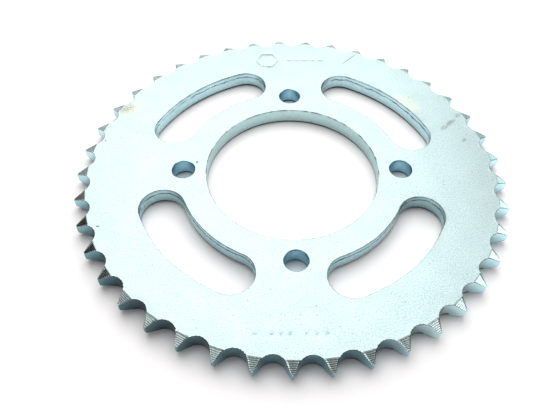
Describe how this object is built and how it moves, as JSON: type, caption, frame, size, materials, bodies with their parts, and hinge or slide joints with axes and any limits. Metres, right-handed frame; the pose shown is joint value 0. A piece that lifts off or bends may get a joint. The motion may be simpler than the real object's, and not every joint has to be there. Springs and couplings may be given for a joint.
{
  "type": "motorcycle rear sprocket",
  "caption": "Flat rear chain sprocket: a zinc-plated steel plate with a toothed rim, a large hub bore, round bolt holes and curved lightening slots.",
  "frame": {"origin": "on the axis of the hub bore, in the plane of the hub face", "axes": "+Z along the bore axis, from the hub face to the outer face; +X through one bolt hole, +Y through the next"},
  "size_m": [0.169, 0.1691, 0.0068],
  "materials": {
    "zinc_plated_steel": "blue-white zinc plating over a rolled and pickled steel surface, satin"
  },
  "bodies": {
    "root": {"sprocket_plate": "zinc_plated_steel"}
  },
  "joints": []
}
